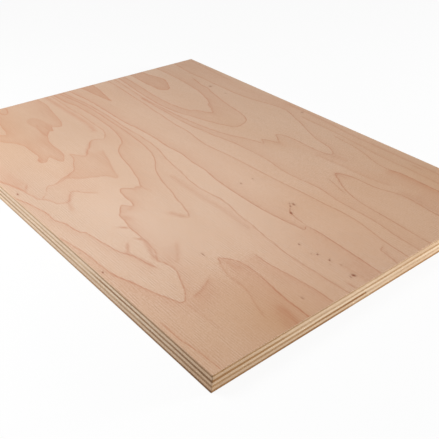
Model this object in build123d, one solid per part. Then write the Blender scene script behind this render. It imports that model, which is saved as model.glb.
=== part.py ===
"""A seven-ply sheet of rotary-cut hardwood plywood, lying flat with its good face up.

The sheet is a balanced lay-up: the grain of each veneer runs across that of its neighbours, so the long
plies (face, two inner, back) run along X and the cross plies between them run along Y.
Origin: middle of the back face, which lies on the floor. +X runs along the face grain, +Z up out of the face.
Millimetres.
"""

import os

from build123d import *

# Driving dimensions
SHEET_LENGTH = 600.0  # along the face grain
SHEET_WIDTH = 450.0  # across the face grain
FACE_THICKNESS = 2.8  # face and back veneers, after sanding
CROSS_THICKNESS = 3.1  # the two crossbands next to the face and the back
CORE_THICKNESS = 3.0  # the cross ply in the middle
LONG_THICKNESS = 2.6  # the two inner plies that run with the face
EDGE_EASE = 0.6  # radius that sanding leaves on every outside edge
STRIP_WIDTH = 195.0  # first strip of the lower long ply, from the front edge to its butt joint
STRIP_GAP = 0.4  # opening left at that joint when the sheet was pressed

PARTS_FOLDER = "parts"


def veneer(thickness):
    """One full-size ply standing on Z = 0, with its four upright corners eased."""
    outline = RectangleRounded(SHEET_LENGTH, SHEET_WIDTH, EDGE_EASE)
    return extrude(outline, thickness)


def outer_veneer():
    """The face or back veneer: its outside rim, here the upper one, is eased like the corners."""
    ply = veneer(FACE_THICKNESS)
    rim = ply.faces().sort_by(Axis.Z)[-1].outer_wire().edges()
    return fillet(rim, EDGE_EASE)


def back_veneer():
    """The outer veneer turned over, with its eased rim at the floor."""
    turned = Rot(X=180) * outer_veneer()
    return Pos(Z=FACE_THICKNESS) * turned


def jointed_veneer(thickness):
    """An inner ply laid as two strips side by side, with the core gap of their butt joint running along X."""
    joint = -SHEET_WIDTH / 2 + STRIP_WIDTH + STRIP_GAP / 2
    gap = Pos(Y=joint) * Box(2 * SHEET_LENGTH, STRIP_GAP, 4 * thickness)
    return veneer(thickness) - gap


# The lay-up from the floor up: node name, ply, thickness
LAY_UP = [
    ("back_veneer", back_veneer(), FACE_THICKNESS),
    ("lower_crossband", veneer(CROSS_THICKNESS), CROSS_THICKNESS),
    ("lower_long_ply", jointed_veneer(LONG_THICKNESS), LONG_THICKNESS),
    ("core_ply", veneer(CORE_THICKNESS), CORE_THICKNESS),
    ("upper_long_ply", veneer(LONG_THICKNESS), LONG_THICKNESS),
    ("upper_crossband", veneer(CROSS_THICKNESS), CROSS_THICKNESS),
    ("face_veneer", outer_veneer(), FACE_THICKNESS),
]

os.makedirs(PARTS_FOLDER, exist_ok=True)
level = 0.0
for node, ply, thickness in LAY_UP:
    export_step(Pos(Z=level) * ply, os.path.join(PARTS_FOLDER, f"{node}.step"))
    level += thickness
print(f"{len(LAY_UP)} plies, sheet {SHEET_LENGTH:g} x {SHEET_WIDTH:g} x {level:g} mm")
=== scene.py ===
"""Dresses a sheet of seven-ply plywood: a rotary-cut hardwood face with its growth rings, sawn edges
that show the plies and their glue lines, and a plain white studio. Lengths are metres, except in the
drawn tables and the values beside them that say millimetres.
"""

import math
from typing import NamedTuple

import bpy
import numpy as np
from bpy.props import FloatProperty, FloatVectorProperty, PointerProperty
from mathutils import Matrix, Vector
from mathutils.geometry import delaunay_2d_cdt


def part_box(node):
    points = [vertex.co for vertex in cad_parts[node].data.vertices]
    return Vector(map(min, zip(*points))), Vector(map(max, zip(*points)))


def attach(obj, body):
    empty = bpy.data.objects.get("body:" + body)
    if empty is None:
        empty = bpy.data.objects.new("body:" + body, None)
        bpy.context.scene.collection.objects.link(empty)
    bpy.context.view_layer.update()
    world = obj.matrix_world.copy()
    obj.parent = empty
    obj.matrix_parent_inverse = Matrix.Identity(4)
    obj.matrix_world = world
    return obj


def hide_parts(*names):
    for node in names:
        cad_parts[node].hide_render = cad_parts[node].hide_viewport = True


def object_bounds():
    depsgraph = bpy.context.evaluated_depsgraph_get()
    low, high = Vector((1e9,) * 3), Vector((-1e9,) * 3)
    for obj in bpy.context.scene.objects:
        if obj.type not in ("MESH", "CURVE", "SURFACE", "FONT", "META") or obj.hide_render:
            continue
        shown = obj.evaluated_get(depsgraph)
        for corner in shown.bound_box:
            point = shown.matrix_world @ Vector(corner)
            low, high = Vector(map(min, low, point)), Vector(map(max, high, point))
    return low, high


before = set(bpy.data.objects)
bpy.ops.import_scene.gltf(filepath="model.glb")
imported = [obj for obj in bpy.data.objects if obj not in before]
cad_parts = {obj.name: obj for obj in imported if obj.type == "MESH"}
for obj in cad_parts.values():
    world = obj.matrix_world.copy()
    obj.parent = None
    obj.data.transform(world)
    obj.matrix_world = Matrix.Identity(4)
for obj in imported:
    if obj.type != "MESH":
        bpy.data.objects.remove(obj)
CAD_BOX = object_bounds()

bl_info = {
    "name": "Plywood Sheet",
    "version": (1, 0, 0),
    "blender": (4, 5, 0),
    "location": "View3D > Sidebar > Plywood",
    "description": "Builds a plywood sheet with a rotary-cut face, ply edges and a white studio",
    "category": "Add Mesh",
}

MM = 0.001

# The lay-up from the floor up, as the frame gives it
LONG_PLIES = ("lower_long_ply", "upper_long_ply")
CROSS_PLIES = ("lower_crossband", "core_ply", "upper_crossband")
ORDER = ("back_veneer", "lower_crossband", "lower_long_ply", "core_ply", "upper_long_ply",
         "upper_crossband", "face_veneer")
LEVELS = [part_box(node)[0].z for node in ORDER] + [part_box(ORDER[-1])[1].z]
LOW, HIGH = [np.array(corner) for corner in CAD_BOX]
JOINT = -29.8 * MM  # middle of the lower long ply's butt joint, across the sheet
JOINT_GAP = 0.4 * MM
ALONG_X, ALONG_Y = 0, 1  # axes that the grain may run along
UP, DOWN = 1, -1  # which way an outside veneer faces

# How the meshes are divided
FIRST_TURN = -90.0  # degrees, the way that the outline's first corner faces at its start
CORNER_STEPS = 4  # round each upright corner
ARRIS_STEPS = 4  # round each eased arris
WALL_SHARES = (0.0, 0.12, 0.35, 0.65, 0.88, 1.0)  # heights of the loops up a sawn edge
CAP_INSET = 6 * MM  # how far in from the edge the hidden glued faces begin
SKIN_MARGIN = 1 * MM  # from the eased arris to the first points of an outside face
BACK_COARSENESS = 5  # the back's mesh spacing, in steps of the face's
JOIN_DISTANCE = 0.001  # millimetres, below which two corners of a flat mesh are one
CLOSEST_POINTS = 0.4 * MM  # cell of the face that keeps one drawn point
LINE_ROWS = (0.0, 0.6, -0.6, 1.3, -1.3, 2.6, -2.6)  # millimetres to the side of a ring line
WIDEST_ROWED = 7.0  # millimetres, the widest ring line that the mesh follows
ROW_WIDTH = 1.6  # millimetres, the ring line from which its rows spread
KNOT_SPOKES = 14
KNOT_SHARES = (0.0, 0.3, 0.6, 1.0, 1.5)  # mesh loops of a pin knot, in shares of its size
SIDE_ON = 0.7  # share of a direction from which a station belongs to that side
SHARP_ANGLE = math.radians(35)

# How the edges waver and lean: lengths of the crossing waves, and the seeds of their draws
GLUE_WAVES = tuple(length * MM for length in (310, 190, 120, 77, 43, 29))
SAW_WAVES = tuple(length * MM for length in (41, 23, 9.5, 7.1))
RIPPLE_CHANGE = 0.6  # how much the saw's marks come and go
GLUE_SEED, RING_SEED, PLY_SEED, STRIP_SEED = 100, 300, 10, 20
LEAN_DEPTH = 12 * MM  # how far in from the front edge its lean fades out

# How the face veneer's edge darkens and pales from its glue line to the arris, on its sides and its ends
SIDE_FADE = (-0.8, -0.35, -0.05, 0.2, 0.2, 0.0, -0.2, -0.2, -0.2, -0.2)
END_FADE = (-0.8, -0.8, -0.6, -0.1, 0.25, 0.2, 0.05, 0.0, 0.0, 0.0)
ARRIS_EDGE = (0.75, 0.15)  # share of the edge's colour on the near arrises, from the wall to the face

# How a growth ring is drawn
RING_STEP = 2 * MM  # between the stations that the distance to a ring is taken from
STATION_SLACK = 1.2 * MM  # how far beyond a station a place still counts as beside it
RING_REACH = 3  # widths or reaches of shade after which a ring no longer tells
RING_WAVES = tuple(length * MM for length in (17, 9, 5))
WOBBLE = 0.25 * MM
WIDEST_WOBBLED = 2.5  # millimetres, the width from which a soft stroke stays smooth
FADE_LENGTH = 9 * MM  # over which the ends of an open ring fade
END_SHARE = 0.15  # of a ring's darkness at its very ends
SHADE_EDGE = 0.7 * MM  # over which the shade rises at the line
KNOT_FLATNESS, KNOT_SHARPNESS = 1.3, 0.9  # how flat a pin knot's middle is and how fast its rim fades
BATCH = 3000  # places measured at a time

# Finish of the woods
WOOD_ROUGHNESS = (0.62, 0.78)
WOOD_GLOSS = 0.1
BUMP_STRENGTH = 0.6
FACE_BUMP, EDGE_BUMP = 0.06 * MM, 0.08 * MM
EVEN_NOISE = (0.3, 0.7)  # where most of a noise lies
DARK_NOISE, PALE_NOISE = (0.5, 0.75), (0.25, 0.5)  # its upper and its lower part
PATCH_NOISE = (0.35, 0.65)  # from the pale to the pink wood of the face
FIBRE_NOISE, FIBRE_DEPTH = (0.4, 0.75), 0.12  # from plain wood to the face's dark fibres
STREAK_NOISE, STREAK_DEPTH = (0.42, 0.75), 0.45  # from plain wood to the streaks of a sawn edge
FINE_DEPTH = 0.35  # how much the fine lines of a sawn edge darken it
HATCH_DEPTH = (0.58, 0.5)  # how much the fine lines of the face darken and pale it
FLECK_DEPTH = (0.54, 0.47)  # the same for its short flecks
LINES_A_BUNDLE = 2.0
LINES_ALONG_X = math.radians(90)  # turn of the waves that the fine lines are made from
GRAIN_PLACE, GRAIN_RISE = (-80 * MM, 100 * MM), (0.58, 1)  # the face's fine lines grow along the sheet
GRAIN_PATCH, PATCH_RISE = (-0.3, 0.5), (0.75, 1.55)  # and in its paler patches
RING_RANGE = (0.8, 1.2)  # how much the fibres weaken and strengthen a ring
BROWN_PLACE = (-200 * MM, 220 * MM)  # where along the sheet the ring lines turn from red to brown
MIX_UNDER, MIX_OVER, MIX_RESULT = 6, 7, 2  # colour sockets of a mix node

# Plain figure of the back: bands, bent by a broad noise, each darker towards a thin line
BAND_BEND = 11.0  # bands that the noise shifts
BANDS_A_METRE = 9.0
BAND_SHADE = (0.45, 0.97)
BAND_SHADE_DEPTH = 0.3
BAND_LINE_RISE, BAND_LINE_FALL = (0.9, 0.96), (0.985, 1)
BAND_LINE_DEPTH = 0.4

# Studio
FLOOR_REACH = 12.0
FLOOR_DROP = 0.2 * MM  # below the sheet, so that the two don't flicker
NEAR_CLIP = 0.01
WHITE = (1, 1, 1, 1)


# Growth rings of the face, drawn in millimetres from the middle of the sheet: x along the grain, y
# across it. A ring is dark on one side of its line, where dense late wood fades into paler wood.

LEFT, RIGHT = 1, -1  # the side of a ring's line that its shade lies on, seen along the line


class Ring(NamedTuple):
    """One drawn growth-ring line: how dark and wide it is, and the soft shade on one side of it."""

    points: list
    line: float = 0.5
    width: float = 0.58
    side: int = LEFT
    shade: float = 0.0
    reach: float = 14.0
    closed: bool = False


RINGS = [
    # Nest at the rear left: dark eye, pale oval, dark band and the great loop around them
    Ring([(-312, 121), (-285, 122), (-270, 126), (-250, 130), (-240, 127), (-225, 120), (-213, 112),
          (-212, 107), (-218, 100.5), (-235, 98), (-262, 97), (-290, 98), (-312, 99)],
         line=0.66, side=RIGHT, shade=0.5, reach=60, closed=True),
    Ring([(-312, 149.5), (-275, 150), (-250, 150), (-225, 149), (-200, 146.5), (-175, 143), (-155, 137),
          (-140, 131.5), (-131, 126.5), (-128, 122.5), (-118, 118.5), (-108, 113), (-101, 108),
          (-106, 103), (-115, 99), (-123, 94), (-127, 88), (-140, 83.5), (-160, 79.5), (-190, 78),
          (-225, 80), (-262, 83), (-312, 85.5)], line=0.58, shade=0.36, reach=16),
    Ring([(-130, 127.5), (-120, 122), (-110, 116.5), (-103, 111)], line=0.2, width=0.7),
    Ring([(-228, 171), (-210, 167), (-195, 163), (-180, 163), (-165, 158), (-145, 153), (-125, 148),
          (-100, 143.5), (-75, 139.5), (-60, 135), (-50, 128.5), (-45, 118), (-42.5, 109), (-45, 100),
          (-52, 96.5), (-64, 91), (-80, 84.5), (-100, 79), (-112, 75.5), (-130, 70), (-150, 66.5),
          (-175, 65), (-200, 66), (-225, 67.5), (-250, 70), (-275, 73), (-312, 76)],
         line=0.66, side=RIGHT, shade=0.2, reach=16),
    Ring([(-312, 187.5), (-285, 186), (-265, 183.5), (-245, 181.5), (-220, 183), (-190, 182.5),
          (-160, 183), (-140, 183), (-120, 185), (-100, 188), (-85, 192), (-70, 196.5), (-55, 199.5),
          (-42, 199.5), (-30, 196.5), (-15, 190.5), (0, 185), (12, 180.5), (22, 175.5), (36, 170),
          (50, 164.5), (65, 161.5), (80, 158.5), (90, 153.5), (96, 149), (97, 145), (90, 141.5),
          (75, 139), (55, 138.8), (35, 139), (20, 137), (11, 133), (9, 130.5), (16, 125.5), (23, 120.5),
          (28, 116), (22, 111.5), (12, 107.5), (8.5, 104.5), (13, 101.5), (18, 98.5), (8, 95),
          (0, 91.5), (-12, 87), (-25, 80.5), (-40, 75), (-60, 70), (-80, 66.5), (-100, 64), (-125, 62),
          (-150, 61), (-190, 59.5), (-225, 61.5), (-250, 63.5), (-280, 66), (-312, 67.5)],
         line=0.62, shade=0.22, reach=12),
    Ring([(-312, 204), (-200, 203), (-100, 208), (-40, 213)], line=0.12, width=10),
    Ring([(96, 147), (110, 146.5), (125, 148)], line=0.14, width=4.5),
    Ring([(26, 116), (36, 115), (46, 116)], line=0.12, width=3.5),
    Ring([(-215, 57.5), (-175, 56.5), (-140, 56), (-110, 55), (-75, 57), (-60, 59.5), (-40, 61.5),
          (-25, 64.5), (-8, 67.5), (12, 68.5), (37, 70), (52, 69.6), (66, 68), (82, 65.5), (100, 64.3),
          (115, 65.3), (132, 67.2), (150, 68), (164, 66), (178, 63.7), (200, 63), (218, 63),
          (240, 61.7), (262, 58.2), (282, 56.4), (312, 53.5)], line=0.58, shade=0.2, reach=12),
    # Nest at the rear right and the lines behind it
    Ring([(312, 127), (285, 127.5), (268, 128), (245, 130.5), (225, 132), (212, 130.5), (200, 126),
          (187, 122), (170, 121), (155, 120), (145, 117.5), (138, 114.5), (135, 111), (138, 107.5),
          (146, 102.5), (156, 96), (168, 90), (182, 85), (198, 81.3), (220, 79.3), (245, 78),
          (270, 76.3), (290, 75), (312, 74)], line=0.73, side=RIGHT, shade=0.02, reach=8),
    Ring([(133.5, 110.8), (139, 111.5)], line=0.6, width=2.2),
    Ring([(160, 121), (145, 117.5), (135, 111), (146, 102.5), (160, 94)], line=0.2, width=2.5),
    Ring([(208, 134), (230, 137), (250, 136), (312, 132)], line=0.16, width=6),
    Ring([(225, 148), (250, 149), (312, 147)], line=0.12, width=12),
    Ring([(131, 110.8), (140, 111.3), (156, 112)], line=0.24, width=3.4),
    Ring([(136, 94), (145, 91.5), (153, 89), (163, 86), (176, 82)], line=0.58),
    Ring([(80, 127.5), (105, 130), (130, 132), (155, 132.5), (175, 135), (190, 138.5), (198, 143)],
         line=0.14, width=2, shade=0.2, reach=10),
    Ring([(58, 191), (68, 189), (85, 187.5), (100, 186.5), (115, 183), (128, 179), (142, 174),
          (155, 171.5), (170, 171)], line=0.58, shade=0.12, reach=8),
    Ring([(166, 171), (173, 172), (180, 174), (195, 175), (215, 174.7), (240, 174.5), (312, 173)],
         line=0.73, side=RIGHT, shade=0.72, reach=10),
    Ring([(-15, 200.5), (40, 199.5), (75, 198), (100, 195.5), (122, 193), (150, 191.5), (185, 191.7),
          (228, 190), (312, 188)], line=0.26, width=1.2, shade=0.15, reach=12),
    Ring([(-60, 217.5), (0, 217), (30, 215.5), (55, 212.5), (80, 211), (110, 210.5), (150, 210.2),
          (215, 210), (312, 209)], line=0.3, width=1.7, shade=0.08, reach=8),
    Ring([(175, 204), (200, 204)], line=0.4, width=1.4),
    Ring([(-312, 219), (-275, 218), (-240, 216), (-205, 214), (-175, 213)], line=0.22, width=2),
    # Long lines through the middle
    Ring([(-312, 55), (-285, 55), (-262, 54), (-240, 52.5), (-212, 50), (-187, 48.5), (-162, 46),
          (-150, 45), (-140, 45), (-132, 43.5), (-112, 42), (-100, 41), (-82, 41.5), (-65, 40),
          (-55, 38), (-40, 36.2), (-25, 35), (-12, 35.8), (10, 38.2), (50, 40), (100, 42), (150, 45),
          (175, 46), (200, 48), (215, 48), (226, 47), (240, 44.3), (255, 41.2), (275, 38.5), (312, 34)],
         line=0.7, side=RIGHT, shade=0.1, reach=18),
    Ring([(-312, 27), (-288, 25.6), (-270, 23.7), (-258, 21), (-245, 18.8), (-236, 16.8), (-226, 15.6),
          (-238, 13.3), (-252, 11.8), (-266, 9.6), (-285, 7.8), (-312, 6.5)],
         line=0.58, side=RIGHT, shade=0.56, reach=30, closed=True),
    Ring([(-312, -15.5), (-285, -14), (-262, -11.5), (-245, -10.2), (-200, -10), (-162, -10.6),
          (-142, -10), (-128, -8), (-112, -7.2), (-75, -7), (-62, -8), (-48, -8), (-37, -6.8),
          (-20, -6.6), (-10, -8.3), (0, -9.5), (25, -10), (37, -11.5), (48, -14), (62, -15.5),
          (100, -17.5), (135, -18), (150, -17.3), (175, -14.5), (190, -12), (198, -10), (196.5, -7.5),
          (194.5, -4.5), (194, -3)], line=0.77, shade=0.32, reach=14),
    Ring([(193.5, -3.2), (200, -3), (208, -2.3), (225, -3), (250, -4.3), (275, -5.8), (312, -8.8)],
         line=0.84, side=RIGHT, shade=0.3, reach=20),
    Ring([(160, 1.5), (170, 0), (180, -1.2), (192, -3)], line=0.66),
    Ring([(262, -14), (285, -16), (312, -18)], line=0.12, width=8),
    Ring([(262, -27), (285, -28), (312, -28.5)], line=0.16, width=1.6),
    Ring([(285, -45), (294, -45.3), (312, -45)], line=0.6, width=1.1),
    Ring([(268, -21), (288, -23), (312, -25)], line=0.07, width=7),
    Ring([(-312, -27), (-275, -23.5), (-250, -20), (-225, -18.4), (-195, -17.5), (-162, -18.5),
          (-125, -19.5), (-110, -19), (-75, -20), (-58, -22), (-42, -25.5), (-28, -29.5), (-10, -33),
          (10, -36), (25, -39), (37, -41.5), (50, -42.8), (75, -42), (95, -40), (112, -41.6),
          (122, -44.5), (135, -46.6), (150, -48), (167, -50.4), (180, -53), (195, -54), (207, -56.3),
          (220, -57.2), (260, -57), (312, -55.5)], line=0.62, side=RIGHT, shade=0.12, reach=12),
    Ring([(10, -52), (60, -54), (110, -53), (165, -56)], line=0.2, width=4),
    Ring([(-312, -34), (-285, -30.7), (-262, -27), (-240, -24.2), (-200, -23.4), (-170, -24.5),
          (-125, -26), (-100, -28), (-80, -29.8), (-65, -32.5), (-52, -35), (-40, -39.8), (-30, -44.5),
          (-20, -51.5), (-10, -58), (2, -63), (15, -67.5), (32, -71.7), (48, -75), (58, -79), (74, -82),
          (85, -85.5), (96, -89), (100, -92.5), (99, -97)], line=0.66, shade=0.14, reach=6),
    Ring([(76, -106), (86, -101), (94, -97), (101, -91)], line=0.34, width=3.6),
    Ring([(-312, -41.3), (-280, -41), (-258, -39), (-246, -35.3), (-225, -34.3), (-195, -33.4),
          (-172, -34.2), (-150, -35.5), (-135, -37.5), (-120, -41), (-107, -45), (-98, -50), (-92, -57),
          (-85, -63.5), (-75, -68.7), (-60, -73.5), (-45, -76.5), (-30, -79.8), (-20, -83.5),
          (-8, -86.5), (2, -90.5), (8, -94), (13, -96), (9.5, -99), (10, -102), (13, -104.5),
          (9, -107.5), (5, -111), (2.5, -114.5), (2.5, -117.5), (7, -120.5), (14, -122.3), (22, -123.6),
          (32, -123.6), (39, -125), (43.5, -128), (41, -131), (37, -133.5), (34, -136.5), (37, -140),
          (43, -144.5), (51, -150), (62, -151.3), (78, -155), (92, -155.4), (108, -156.7),
          (122, -157.8), (133, -160.5), (140, -164.3), (145, -166.8), (150, -164.5), (157, -162.5),
          (165, -161.7), (173, -163), (182, -167), (200, -175), (207, -179.5), (211.5, -184),
          (211.5, -187.5), (205, -190.8), (195, -194.7), (182, -199.5), (168, -203.5), (158, -206),
          (150, -209), (143, -211.5), (134, -213.7), (120, -215.2), (90, -216.5), (72, -219.5),
          (58, -222), (40, -227)], line=0.66, shade=0.3, reach=14),
    Ring([(130, -215.4), (140, -213.4), (148, -210.6), (156, -207.6), (166, -204.2)],
         line=0.36, width=0.9),
    Ring([(12, -98), (15, -101)], line=0.5, width=3),
    Ring([(5, -111), (2.5, -117), (14, -122.3), (32, -123.6), (43.5, -128)],
         line=0, shade=0.2, reach=6),
    Ring([(34, -136.5), (37, -140), (43, -144.5), (51, -150), (62, -151.3), (78, -155), (95, -155.5)],
         line=0, shade=0.24, reach=6),
    Ring([(13, -96), (20, -94), (29, -91.5)], line=0.2, width=1.5),
    Ring([(45, -127), (46, -133), (46, -140)], line=0.25, width=4.5),
    Ring([(52, -148), (70, -143)], line=0.2, width=4),
    Ring([(158, -173), (152, -174.7), (146, -176.5), (130, -179.6), (120, -182.5), (111, -187),
          (103, -189.6), (88, -192), (62, -196), (56.5, -197), (52, -200.5), (44, -202.7), (25, -206),
          (20, -208.5), (15, -210.2), (-2, -210.5), (-18, -213.2), (-35, -217.5), (-48, -222),
          (-64, -227)], line=0.73, shade=0.28, reach=10),
    Ring([(108, -186), (118, -182.4), (130, -179), (144, -176.2), (154, -173.5)], line=0.3, width=2.2),
    # Hooks of the small pale lens between the two lines above
    Ring([(79, -155.5), (75.5, -158.5), (72, -161.5), (70, -165.5)], line=0.85, width=1.7),
    Ring([(108, -157), (103, -159), (98, -162.5)], line=0.8, width=1.7),
    Ring([(98, -170), (106, -176.5), (112, -180.5), (119, -184.5)], line=0.42, width=2.0),
    Ring([(104, -157), (119, -159.8), (133, -164.5), (146, -168.5)], line=0.42, width=2.6),
    Ring([(128, -130), (138, -137), (147, -143), (154, -149), (162, -154)], line=0.3, width=2.6),
    Ring([(130, -141), (140, -148), (150, -156), (160, -163)], line=0.12, width=5),
    # Dark tongues at the front left
    Ring([(-312, -55), (-240, -54.5), (-200, -53.8), (-172, -54.5), (-146, -60)], line=0.3, width=4),
    Ring([(-312, -47), (-280, -46.6), (-255, -47), (-235, -47.6), (-212, -46.6), (-190, -46.8),
          (-165, -48), (-150, -48.2), (-140, -50.5), (-130, -56), (-124.5, -61), (-126, -66.5),
          (-129.5, -73), (-128, -80), (-122, -84.5), (-116, -88), (-110, -94), (-103, -100),
          (-96, -106), (-99, -110.5), (-105, -114.5), (-111.5, -119.5), (-105, -120.5), (-99, -121.8),
          (-93, -124.5), (-87, -129), (-80, -132), (-73, -136), (-68.5, -140.5), (-67.5, -144),
          (-64.5, -149.5), (-63, -155), (-61, -160), (-57.5, -166), (-54.5, -171), (-54.5, -176),
          (-56, -180), (-52, -184.5), (-44, -188.5)], line=0.5, shade=0.18, reach=22),
    Ring([(-98, -80), (-80, -86), (-65, -90.5), (-50, -96), (-36, -101), (-24, -104), (-22.5, -106.5),
          (-29, -109.5), (-34, -113), (-37.5, -118), (-40, -124), (-43, -130), (-46.5, -137),
          (-50, -143), (-54.5, -148), (-58.5, -152.5), (-61, -158)],
         line=0.22, width=1.2, side=RIGHT, shade=0.32, reach=30),
    Ring([(-5, -142.5), (-9, -146.5), (-15, -153), (-20, -157.5), (-26, -162), (-27, -165), (-24, -169),
          (-14, -175.5), (-9.5, -179), (-10, -184), (-14, -191), (-20, -193.5), (-26, -195.5),
          (-32, -199.5), (-35, -203), (-45, -205), (-55, -207.5), (-65, -208.5), (-75, -211),
          (-85, -214), (-96, -219.5), (-108, -224)],
         line=0.36, width=1.1, side=RIGHT, shade=0.17, reach=12),
    Ring([(-39.5, -192.5), (-37, -196), (-33, -200)], line=1),
    Ring([(-77, -197.5), (-68, -202), (-60, -207)], line=0.35, width=1.2),
    Ring([(-108, -224), (-100, -220), (-80, -213.5), (-60, -206.5)],
         line=0.25, width=1.6, shade=0.2, reach=9),
    Ring([(-95, -105.5), (-108.5, -96.5), (-121.5, -85), (-131, -77)], line=0.28, width=2.2),
    Ring([(-26.5, -164), (-17.5, -171.5), (-9.5, -179), (-6.5, -184)], line=0.2, width=2.5),
    Ring([(-55, -171), (-58, -160), (-69, -140)], line=0.22, width=2),
    Ring([(-12, -178.5), (-2, -181.5), (14, -187)], line=0.26, width=2.4),
    Ring([(-140, -208), (-105, -207), (-72, -205)], line=0.15, width=8),
    Ring([(-312, -71), (-290, -68.5), (-275, -67.5), (-258, -70.5), (-240, -74), (-222, -77),
          (-207, -80), (-199, -83.5), (-193, -87.5), (-193, -90.5), (-197, -94.5), (-199, -98.5),
          (-192, -101), (-187, -103.5), (-189, -107), (-184, -111.5), (-177, -117), (-168, -120.5),
          (-157, -124), (-142, -125), (-125, -125.2), (-113, -128), (-105, -132), (-100, -136),
          (-104, -139), (-114, -141.5), (-121, -144), (-117, -148.5), (-112, -153), (-111.5, -157),
          (-115, -160), (-122, -158.5), (-128, -154.5), (-140, -153.6), (-155, -154), (-167, -154),
          (-176, -157), (-184, -161), (-191, -167), (-198, -172.5), (-209, -179), (-222, -178),
          (-226, -171), (-217, -164), (-213, -159), (-220, -155.5), (-235, -153), (-250, -150.5),
          (-270, -148), (-312, -146)], line=0.39, side=RIGHT, shade=0.42, reach=20, closed=True),
    Ring([(-237, -101), (-242, -106), (-241.5, -112), (-236, -117), (-228, -119), (-218, -118.3),
          (-207, -116.5), (-198, -117.5), (-188, -118.3), (-178, -118), (-184, -112), (-189, -107.5),
          (-188, -103.5), (-197, -99.5), (-203, -96), (-215, -97.5), (-228, -99)],
         line=0.08, shade=0.28, reach=60, closed=True),
    Ring([(-222, -109), (-212, -114), (-203, -116.5), (-192, -117.5), (-180, -118)],
         line=0.2, width=0.8),
    Ring([(-178, -126), (-165, -136), (-150, -144)], line=0.05, width=14),
    Ring([(-126, -156), (-119, -156.5), (-114, -154)], line=0.3, width=3.5),
    Ring([(-312, -121), (-294, -120.5), (-285, -122.5), (-277, -127), (-275, -130), (-279, -132.5),
          (-290, -135)], line=0.58, side=RIGHT, shade=0.2, reach=8),
    # Front right corner
    Ring([(194, -83), (205, -83.3), (215, -83.4), (228, -82.5), (252, -79.5), (278, -77.3), (312, -78)],
         line=0.62, side=RIGHT, shade=0.4, reach=20),
    Ring([(312, -111), (290, -110), (258, -108), (245, -106), (232, -104), (218, -102.8), (206, -102.8),
          (197, -104.5), (190, -107.5), (184, -112), (179.5, -116.5), (185, -119.5), (190, -122)],
         line=0.64, shade=0.3, reach=24),
    Ring([(181, -117.5), (185, -119.5), (192, -123), (204, -126.5), (217, -127.5), (230, -128),
          (243, -131), (250, -134), (258, -137), (267, -140), (276, -142)],
         line=0.3, width=0.9, shade=0.1, reach=12),
    Ring([(266, -120.5), (276, -121.5), (286, -123), (296, -125), (312, -128)], line=0.28, width=5.5),
    Ring([(272, -120.5), (284, -121.5), (296, -124), (312, -127)], line=0.22, width=2.6),
    Ring([(240, -105.3), (258, -108), (290, -110), (312, -111)], line=0.5, width=0.9),
    Ring([(270, -124), (286, -129.5), (298, -134), (312, -138.5)], line=0.17, width=5),
    Ring([(197, -143), (202, -150.4), (205.5, -156.5), (208, -161.3), (210.8, -169.6), (212, -177)],
         line=0.24, width=1.8, shade=0.45, reach=12),
    Ring([(213, -148), (220, -160), (225, -172), (228, -188)], line=0.09, width=10),
    Ring([(150, -209), (168, -203.5), (182, -199.5), (195, -194.7), (205, -190.8), (211.5, -187.5)],
         line=0, side=RIGHT, shade=0.24, reach=8),
    Ring([(184, -116.5), (196, -114), (212, -112)], line=0.2, width=5),
    Ring([(212, -186), (222, -185), (240, -183.5), (266, -182.5)], line=0.13, width=1.6),
    Ring([(220, -219.5), (235, -219), (250, -219.2), (258, -217.5), (266, -216.4), (280, -215),
          (312, -213.5)], line=0.73, shade=0.12, reach=6),
    Ring([(270.5, 33), (271.5, 28), (273.5, 24), (282, 22), (292, 19.8), (312, 14.5)],
         line=0.62, shade=0.2, reach=6),
    Ring([(278, 26), (282, 23.5)], line=1, width=0.8),
    # The small knot near the middle right: smears, a fine curl and a crease that runs into the ring line
    Ring([(146.5, 16.6), (147.5, 14), (150, 12.5), (153, 11.2)], line=0.2, width=0.8),
    Ring([(157, 7), (160, 4.5), (164, 2.4), (170, 0)], line=0.7, width=0.8),
]

# Pin knots and resin flecks of the face: middle x and y, length and width in millimetres, tilt in
# degrees, darkness.
KNOTS = [
    (164.9, 2.1, 5.2, 2.6, -20, 0.95), (153.5, 17.6, 5.8, 2.4, -8, 0.8),
    (154.2, 11.6, 4.0, 2.2, -30, 0.75), (149.5, 15, 4.5, 2.0, -50, 0.45),
    (158.5, 7, 7.0, 2.0, -45, 0.3), (213.5, -35.3, 3.2, 1.8, -20, 0.72),
    (238, -33.6, 3.0, 2.0, -25, 0.8), (252.5, -31.3, 3.4, 1.8, -30, 0.85),
    (284.3, -31.7, 5.2, 3.2, 10, 0.95), (284, -36, 4.5, 1.8, -20, 0.5), (265, -28.5, 4.6, 1.5, 0, 0.42),
    (233, -37.5, 2.4, 1.6, 0, 0.42), (258, -36.6, 2.4, 1.6, 0, 0.3), (80.5, 21, 3.4, 1.8, -25, 0.5),
    (80.5, 2.4, 4.0, 1.8, -15, 0.6), (-181.5, 170.5, 6.0, 5.0, -20, 0.5),
    (-145, 171, 5.0, 3.4, 0, 0.25), (-21, 212.5, 4.6, 4.0, -30, 0.45),
    (165, -124.7, 7.0, 1.6, -3, 0.58), (277, -96.2, 4.4, 1.7, 0, 0.5),
    (-60.5, -217.2, 4.8, 1.9, -10, 0.9), (127.5, -220.2, 3.2, 1.9, -10, 0.9),
    (85.5, -221.5, 3.0, 1.6, 0, 0.4),
]

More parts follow.
